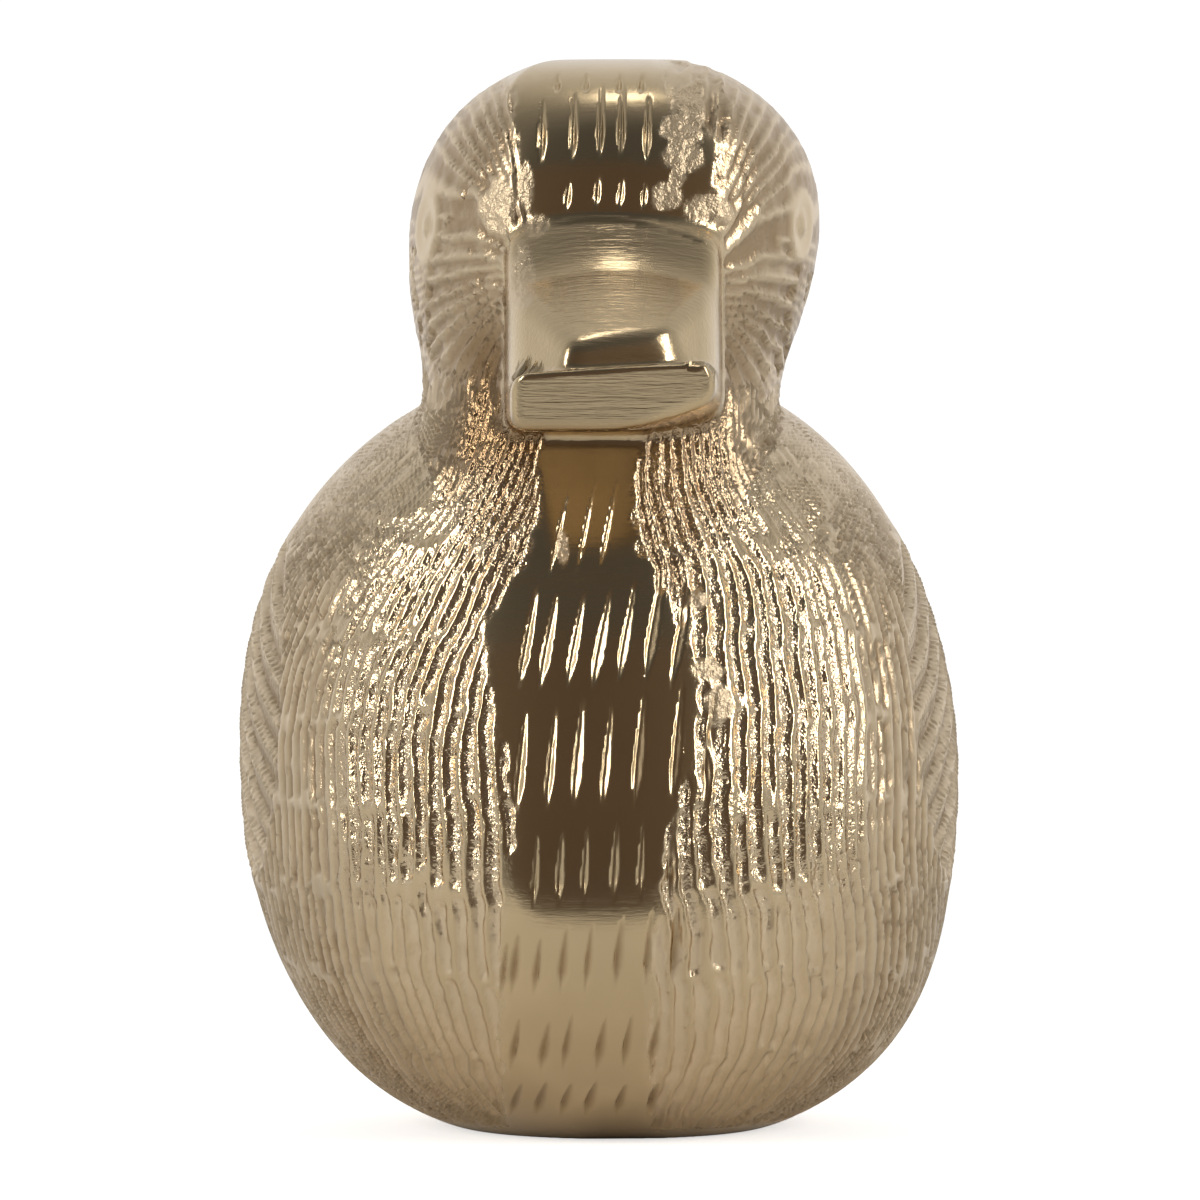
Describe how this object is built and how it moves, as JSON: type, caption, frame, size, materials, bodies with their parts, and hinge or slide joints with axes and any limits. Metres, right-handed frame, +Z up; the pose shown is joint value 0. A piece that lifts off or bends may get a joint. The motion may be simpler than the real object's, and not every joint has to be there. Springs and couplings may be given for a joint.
{
  "type": "duck figurine",
  "caption": "Sitting duckling ornament of hollow cast brass: two half shells brazed on the middle plane, with feather grooves and a ground and chiselled seam.",
  "frame": {"origin": "on the ground foot, on the middle plane, below the body", "axes": "+Z up from the foot, -Y the way the duck faces, +X to the duck's left"},
  "size_m": [0.0584, 0.1059, 0.0829],
  "materials": {
    "cast_brass": "as cast, grainy, lightly bright dipped",
    "polished_brass": "filed and polished"
  },
  "bodies": {
    "root": {"left_half_casting": "cast_brass", "right_half_casting": "cast_brass", "seam_braze": "polished_brass"}
  },
  "joints": []
}
